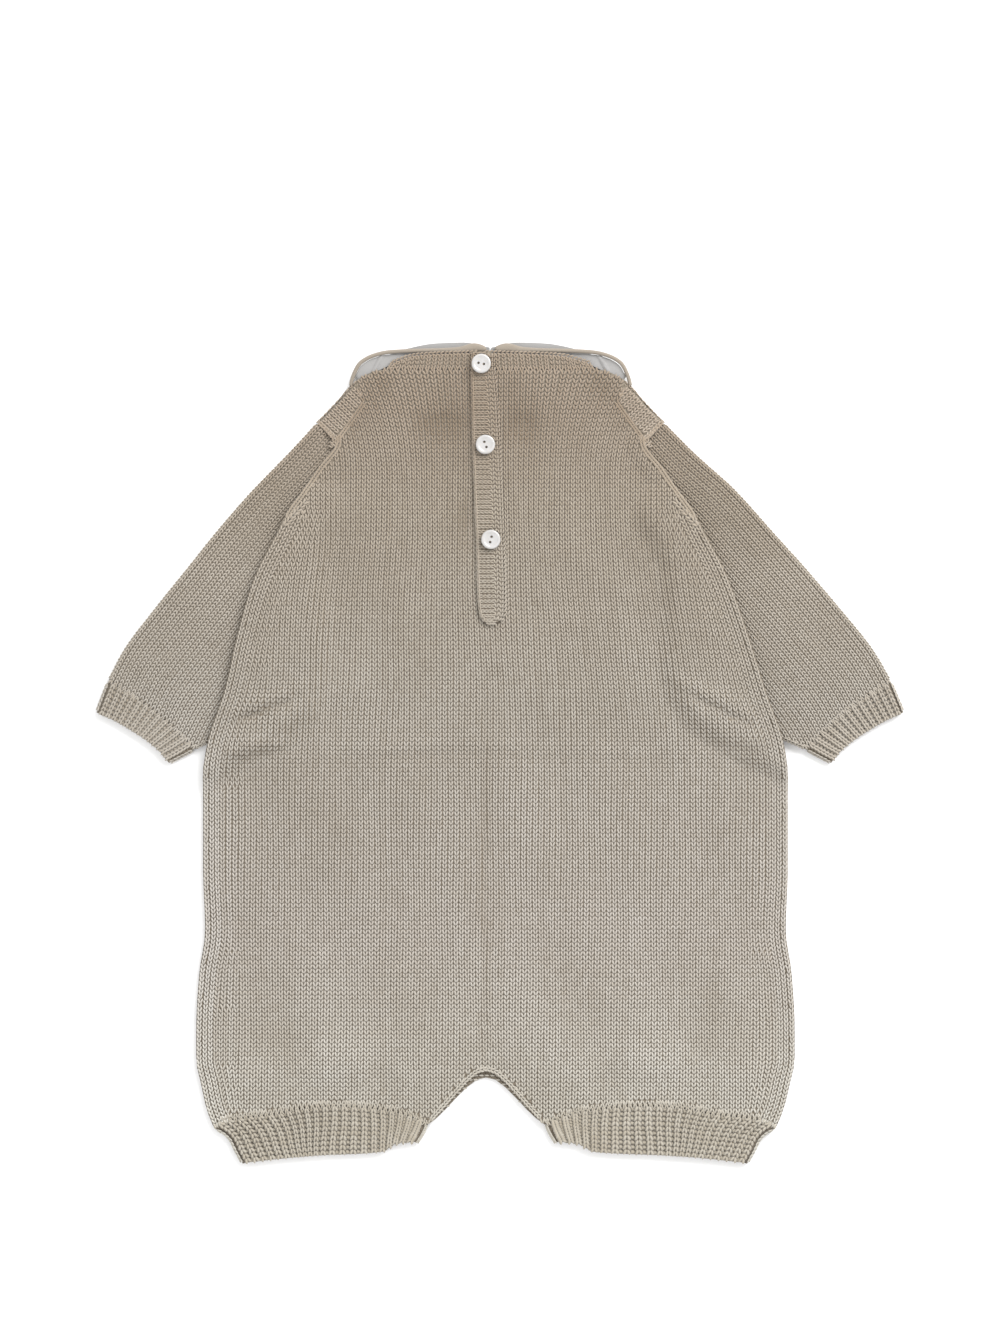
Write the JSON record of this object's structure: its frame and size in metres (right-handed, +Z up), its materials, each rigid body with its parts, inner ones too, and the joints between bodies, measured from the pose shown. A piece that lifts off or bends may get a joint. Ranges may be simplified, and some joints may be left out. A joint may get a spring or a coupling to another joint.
{
  "type": "baby romper",
  "caption": "Short-sleeved baby romper in plain knit, laid flat on its front, with ribbed edges, a buttoned back opening and a bound collar.",
  "frame": {"origin": "middle of the whole garment's box, on the surface it lies on", "axes": "+Z up, out of the garment's back; +Y from the legs to the neck; +X to the right of someone who looks at the back with the neck at the top"},
  "size_m": [0.4452, 0.4524, 0.0116],
  "materials": {
    "beige_knit": "matte plain-knitted cotton yarn",
    "white_cotton": "plain woven cotton",
    "beige_binding": "narrow woven bias binding",
    "shell_button": "polished white shell or its imitation"
  },
  "bodies": {
    "root": {"front_panel": "beige_knit", "back_panel": "beige_knit", "sleeve_left": "beige_knit", "sleeve_right": "beige_knit", "sleeve_rib_left": "beige_knit", "sleeve_rib_right": "beige_knit", "leg_rib_left": "beige_knit", "leg_rib_right": "beige_knit", "neckband_left": "beige_knit", "neckband_right": "beige_knit", "placket_band": "beige_knit", "collar_left": "white_cotton", "collar_right": "white_cotton", "collar_binding_left": "beige_binding", "collar_binding_right": "beige_binding", "button_1": "shell_button", "button_2": "shell_button", "button_3": "shell_button"}
  },
  "joints": []
}
